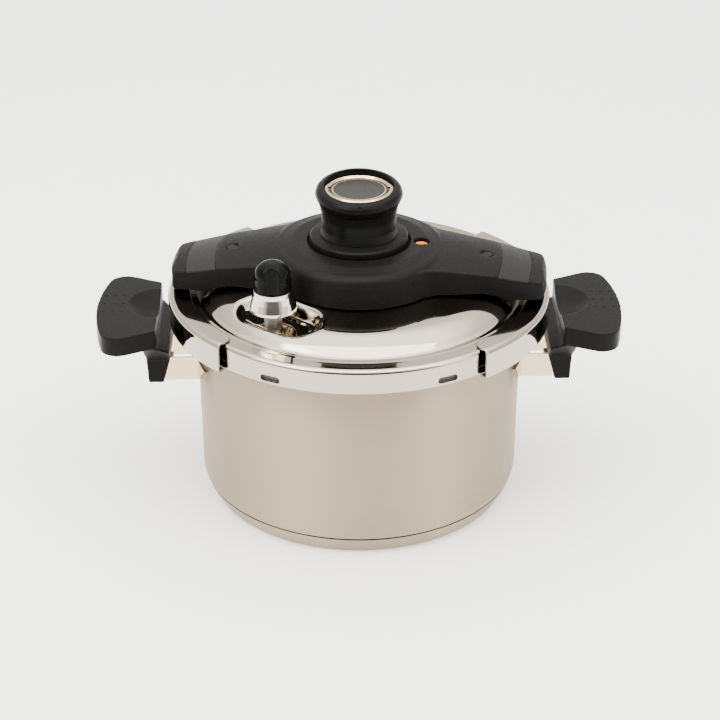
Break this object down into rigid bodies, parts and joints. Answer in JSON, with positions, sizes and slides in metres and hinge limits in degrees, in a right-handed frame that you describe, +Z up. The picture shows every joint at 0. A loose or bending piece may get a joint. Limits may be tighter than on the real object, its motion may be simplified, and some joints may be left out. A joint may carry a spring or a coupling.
{
  "type": "stovetop pressure cooker",
  "caption": "Steel pressure cooker with a polished lid, black bridge and turn knob that works two clamping jaws, a lift-off regulating valve and two side handles.",
  "frame": {"origin": "centre of the base, on the surface the pot stands on", "axes": "+Z up along the pot's axis; +X through the right side handle, seen with the valve at the front left; -Y is the front"},
  "size_m": [0.358, 0.2466, 0.2238],
  "materials": {
    "satin_steel": "satin brushed",
    "polished_steel": "mirror polished",
    "aluminium_core": "mill",
    "plain_steel": "machined",
    "black_handle": "fine matte",
    "black_bridge": "fine grain",
    "black_knob": "satin",
    "satin_inlay": "satin",
    "gloss_black": "gloss",
    "dark_plate": "satin lacquer",
    "gold_trim": "polished",
    "dark_screw": "blackened",
    "chrome": "mirror",
    "brass": "machined",
    "grey_silicone": "matte",
    "orange_plastic": "satin"
  },
  "bodies": {
    "pot": {"pot_body": "satin_steel", "pot_rim": "polished_steel", "base_core": "aluminium_core", "base_cap": "satin_steel", "handle_bracket_left": "polished_steel", "handle_bracket_right": "polished_steel", "handle_left": "black_handle", "handle_right": "black_handle", "handle_screws": "plain_steel"},
    "lid": {"lid_shell": "polished_steel", "lid_gasket": "grey_silicone", "guide_plate": "plain_steel", "centre_stud": "plain_steel", "centre_nut": "plain_steel", "lid_studs": "plain_steel", "bridge_screws": "dark_screw", "bridge_cover": "black_bridge", "arm_inlay_left": "satin_inlay", "arm_inlay_right": "satin_inlay", "retaining_screw": "plain_steel", "valve_nozzle": "plain_steel", "valve_nut": "plain_steel", "indicator_grommet": "grey_silicone", "safety_valve_body": "brass", "safety_valve_spring": "plain_steel"},
    "jaw_left": {"jaw_left": "polished_steel", "jaw_claw_left": "polished_steel", "slide_bar_left": "plain_steel", "cam_pin_left": "brass", "jaw_rivets_left": "plain_steel"},
    "jaw_right": {"jaw_right": "polished_steel", "jaw_claw_right": "polished_steel", "slide_bar_right": "plain_steel", "cam_pin_right": "brass", "jaw_rivets_right": "plain_steel"},
    "knob": {"knob_shaft": "plain_steel", "cam_plate": "plain_steel", "knob_base": "black_bridge", "knob_grip": "black_knob", "knob_bezel": "polished_steel", "knob_plate": "dark_plate", "knob_trim": "gold_trim"},
    "valve_clip": {"valve_clip": "plain_steel"},
    "valve_cap": {"valve_bell": "chrome", "valve_grip": "gloss_black"},
    "indicator": {"indicator_pin": "orange_plastic"},
    "safety_poppet": {"safety_valve_poppet": "plain_steel"}
  },
  "joints": [
    {"name": "lid_lift", "type": "slide", "parent": "pot", "child": "lid", "axis": [0, 0, 1], "range_m": [0, 0.16]},
    {"name": "knob_turn", "type": "hinge", "parent": "lid", "child": "knob", "pos_m": [0, 0, 0.2], "axis": [0, 0, -1], "range_deg": [0, 90]},
    {"name": "jaw_left_slide", "type": "slide", "parent": "lid", "child": "jaw_left", "axis": [0.9959, -0.0906, 0], "range_m": [0, 0.0045]},
    {"name": "jaw_right_slide", "type": "slide", "parent": "lid", "child": "jaw_right", "axis": [-0.9959, 0.0906, 0], "range_m": [0, 0.0045]},
    {"name": "valve_lift", "type": "slide", "parent": "lid", "child": "valve_clip", "axis": [0, 0, 1], "range_m": [0, 0.03]},
    {"name": "valve_spin", "type": "hinge", "parent": "valve_clip", "child": "valve_cap", "pos_m": [-0.05731, -0.05604, 0.1588], "axis": [0, 0, 1], "continuous": true},
    {"name": "indicator_rise", "type": "slide", "parent": "lid", "child": "indicator", "axis": [0, 0, 1], "range_m": [0, 0.004]},
    {"name": "safety_lift", "type": "slide", "parent": "lid", "child": "safety_poppet", "axis": [0, 0, 1], "range_m": [0, 0.0015], "stiffness_N_per_m": 1500, "springref_m": -0.0015, "deforming": ["safety_valve_spring"]}
  ],
  "couplings": [
    {"joint": "jaw_left_slide", "follows": "knob_turn", "m_per_rad": 0.0028648},
    {"joint": "jaw_right_slide", "follows": "knob_turn", "m_per_rad": 0.0028648}
  ]
}
